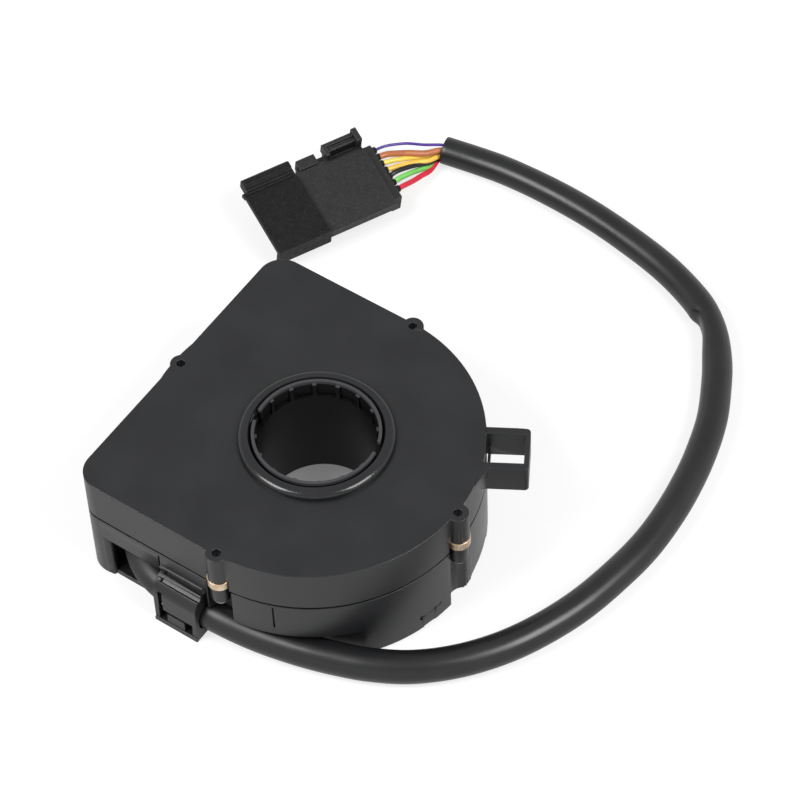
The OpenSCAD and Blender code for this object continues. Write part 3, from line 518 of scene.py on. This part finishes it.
# ---- Connector ----------------------------------------------------------------------
# Shell, rear block and latch are moulded in black polyester with an even, sand-like
# grain. Seven flat contacts stand in the shell's mouth.
def sand_grained(name, dark, light, speck_and_edge_highlight):
    """Moulded polyester with a sand-like grain and light specks, and with painted highlights
    along its edges.
    """
    material = moulded(name, dark, light, 0.60, 0.46, 0.00030, 0.00007, 0.0016)
    nodes, links = material.node_tree.nodes, material.node_tree.links
    shader = nodes["Principled BSDF"]
    specks = spread_between(nodes, links, soft_noise(nodes, links, 0.00032, 1.0),
                            0.0, 0.35, 0.52, 0.72)
    # Edges are painted lighter where the rounded normal turns away from the flat one: a painted
    # highlight, mixed in with the light specks.
    rounded = nodes.new("ShaderNodeBevel")
    rounded.samples = 4
    rounded.inputs["Radius"].default_value = 0.00045
    flat = nodes.new("ShaderNodeNewGeometry")
    turn = nodes.new("ShaderNodeVectorMath")
    turn.operation = "DOT_PRODUCT"
    links.new(rounded.outputs["Normal"], turn.inputs[0])
    links.new(flat.outputs["Normal"], turn.inputs[1])
    painted_edge_highlight = spread_between(nodes, links, turn.outputs["Value"], 0.9, 0.0, 0.86, 0.985)
    lightest = nodes.new("ShaderNodeMath")
    lightest.operation = "MAXIMUM"
    links.new(specks, lightest.inputs[0])
    links.new(painted_edge_highlight, lightest.inputs[1])
    mixed = nodes.new("ShaderNodeMix")
    mixed.data_type = "RGBA"
    mixed.inputs["B"].default_value = (*speck_and_edge_highlight, 1)
    links.new(lightest.outputs["Value"], mixed.inputs["Factor"])
    links.new(shader.inputs["Base Color"].links[0].from_socket, mixed.inputs["A"])
    links.new(mixed.outputs["Result"], shader.inputs["Base Color"])
    return material


shell_polyester = sand_grained("shell_polyester", (0.003, 0.0031, 0.0034),
                               (0.006, 0.0062, 0.0067), (0.045, 0.046, 0.050))
block_polyester = sand_grained("block_polyester", (0.004, 0.0041, 0.0045),
                               (0.008, 0.0082, 0.0088), (0.060, 0.061, 0.066))
shell_polyester.node_tree.nodes["Principled BSDF"].inputs[
    "Specular IOR Level"].default_value = 0.22
connector_pieces = [
    softened(node, name, edge, "housing", material)
    for node, name, edge, material in (
        ("connector_shell", "plug_shell", 0.00012, shell_polyester),
        ("connector_block", "plug_block", 0.00022, block_polyester),
        ("connector_lock", "plug_latch", 0.0001, block_polyester))
]
wire_collar = (0.00100, 0.00092, 0.0010)
for colour, (width, tone, points) in wire_kinds.items():
    start_radius, end_radius, length = wire_collar
    line = smooth_route(points[:3], 6)[:4]
    line = [line[0] + share * (line[3] - line[0]).normalized() * length
            for share in (-0.2, 0.8, 1.0)]
    rings = [round_ring(line, i, lambda point, outward, i=i: (
        start_radius, end_radius, 0.72 * end_radius)[i], wire_sides) for i in range(3)]
    collar = tube_object("crimp_collar_" + colour, rings)
    collar.data.materials.append(shell_polyester)
    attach(collar, "housing")
    connector_pieces.append(collar)
contact_tin = turned_metal("contact_brass", (0.60, 0.42, 0.20), (0.76, 0.58, 0.32), 0.0004,
                           0.000004)
connector_pieces.append(softened("contact_pins", "plug_contacts", 0.00006, "housing",
                                 contact_tin))

# ---- Floor and lamps ----------------------------------------------------------------
# White sweep of a photographer's table with two square soft lamps, one on each side of
# the camera, and even light from the tent round it.
floor_size = 4.0
floor_mesh = bpy.data.meshes.new("table_sweep")
half = floor_size / 2
floor_mesh.from_pydata([(-half, -half, -5e-5), (half, -half, -5e-5), (half, half, -5e-5),
                        (-half, half, -5e-5)], [], [(0, 1, 2, 3)])
floor = bpy.data.objects.new("table_sweep", floor_mesh)
collection.objects.link(floor)


def seen_directly(nodes, links):
    """1 for rays from the camera, mirrors and glass, and 0 for light on the object."""
    path = nodes.new("ShaderNodeLightPath")
    either = nodes.new("ShaderNodeMath")
    either.operation = "MAXIMUM"
    links.new(path.outputs["Is Camera Ray"], either.inputs[0])
    links.new(path.outputs["Is Glossy Ray"], either.inputs[1])
    any_of = nodes.new("ShaderNodeMath")
    any_of.operation = "MAXIMUM"
    links.new(either.outputs["Value"], any_of.inputs[0])
    links.new(path.outputs["Is Transmission Ray"], any_of.inputs[1])
    return any_of.outputs["Value"]


sweep = bpy.data.materials.new("white_sweep")
sweep.use_nodes = True
nodes, links = sweep.node_tree.nodes, sweep.node_tree.links
nodes.clear()
lit = nodes.new("ShaderNodeBsdfDiffuse")
lit.inputs["Color"].default_value = (0.80, 0.80, 0.80, 1)
shade = nodes.new("ShaderNodeBsdfDiffuse")
shade.inputs["Color"].default_value = (0.34, 0.34, 0.34, 1)
glow = nodes.new("ShaderNodeEmission")
# To the camera, the floor within 20 to 30 mm of the bore's axis is painted darker, down to a
# glow of 0.15. This is a painted shadow of the housing on the floor seen through its bore.
place = nodes.new("ShaderNodeTexCoord")
bore_shadow_from_axis = nodes.new("ShaderNodeVectorMath")
bore_shadow_from_axis.operation = "LENGTH"
links.new(place.outputs["Object"], bore_shadow_from_axis.inputs[0])
path = nodes.new("ShaderNodeLightPath")
level = nodes.new("ShaderNodeMix")
level.inputs["A"].default_value = 0.42
links.new(path.outputs["Is Camera Ray"], level.inputs["Factor"])
links.new(spread_between(nodes, links, bore_shadow_from_axis.outputs["Value"], 0.15, 0.70, 0.0200, 0.0300),
          level.inputs["B"])
links.new(level.outputs["Result"], glow.inputs["Strength"])
paper = nodes.new("ShaderNodeAddShader")
links.new(shade.outputs["BSDF"], paper.inputs[0])
links.new(glow.outputs["Emission"], paper.inputs[1])
by_ray = nodes.new("ShaderNodeMixShader")
links.new(seen_directly(nodes, links), by_ray.inputs["Fac"])
links.new(lit.outputs["BSDF"], by_ray.inputs[1])
links.new(paper.outputs["Shader"], by_ray.inputs[2])
from_below = nodes.new("ShaderNodeMixShader")
facing = nodes.new("ShaderNodeNewGeometry")
links.new(facing.outputs["Backfacing"], from_below.inputs["Fac"])
links.new(by_ray.outputs["Shader"], from_below.inputs[1])
links.new(nodes.new("ShaderNodeBsdfTransparent").outputs["BSDF"], from_below.inputs[2])
links.new(from_below.outputs["Shader"], nodes.new("ShaderNodeOutputMaterial").inputs["Surface"])
floor_mesh.materials.append(sweep)

# The tent is white round its sides, where it is the backdrop, and darker overhead.
world = bpy.data.worlds.new("light_tent")
world.use_nodes = True
scene.world = world
nodes, links = world.node_tree.nodes, world.node_tree.links
nodes.clear()
direction = nodes.new("ShaderNodeTexCoord")
height = nodes.new("ShaderNodeSeparateXYZ")
links.new(direction.outputs["Generated"], height.inputs["Vector"])
mirrored = spread_between(nodes, links, height.outputs["Z"], 1.0, 0.62, 0.15, 0.60)
path = nodes.new("ShaderNodeLightPath")
strength = 0.34
for kind, level in (("Is Transmission Ray", mirrored), ("Is Glossy Ray", mirrored),
                    ("Is Camera Ray", None)):
    choice = nodes.new("ShaderNodeMix")
    links.new(path.outputs[kind], choice.inputs["Factor"])
    if isinstance(strength, float):
        choice.inputs["A"].default_value = strength
    else:
        links.new(strength, choice.inputs["A"])
    choice.inputs["B"].default_value = 1.0
    if level is not None:
        links.new(level, choice.inputs["B"])
    strength = choice.outputs["Result"]
tent = nodes.new("ShaderNodeBackground")
tent.inputs["Color"].default_value = (1, 1, 1, 1)
links.new(strength, tent.inputs["Strength"])
links.new(tent.outputs["Background"], nodes.new("ShaderNodeOutputWorld").inputs["Surface"])

lamp_reach = 0.80
for name, turn, height_angle, power, size in (("lamp_left", -67, 48, 4.6, 0.38),
                                              ("lamp_right", 56, 47, 4.4, 0.38)):
    bearing = math.radians(turn) + math.atan2(-view_along.y, -view_along.x)
    lamp = bpy.data.objects.new(name, bpy.data.lights.new(name, "AREA"))
    lamp.data.energy = power
    lamp.data.size = size
    height_angle = math.radians(height_angle)
    away = Vector((math.cos(bearing) * math.cos(height_angle),
                   math.sin(bearing) * math.cos(height_angle), math.sin(height_angle)))
    lamp.location = camera_aim + lamp_reach * away
    lamp.rotation_euler = away.to_track_quat("Z", "Y").to_euler()
    collection.objects.link(lamp)

scene.view_settings.view_transform = "Standard"
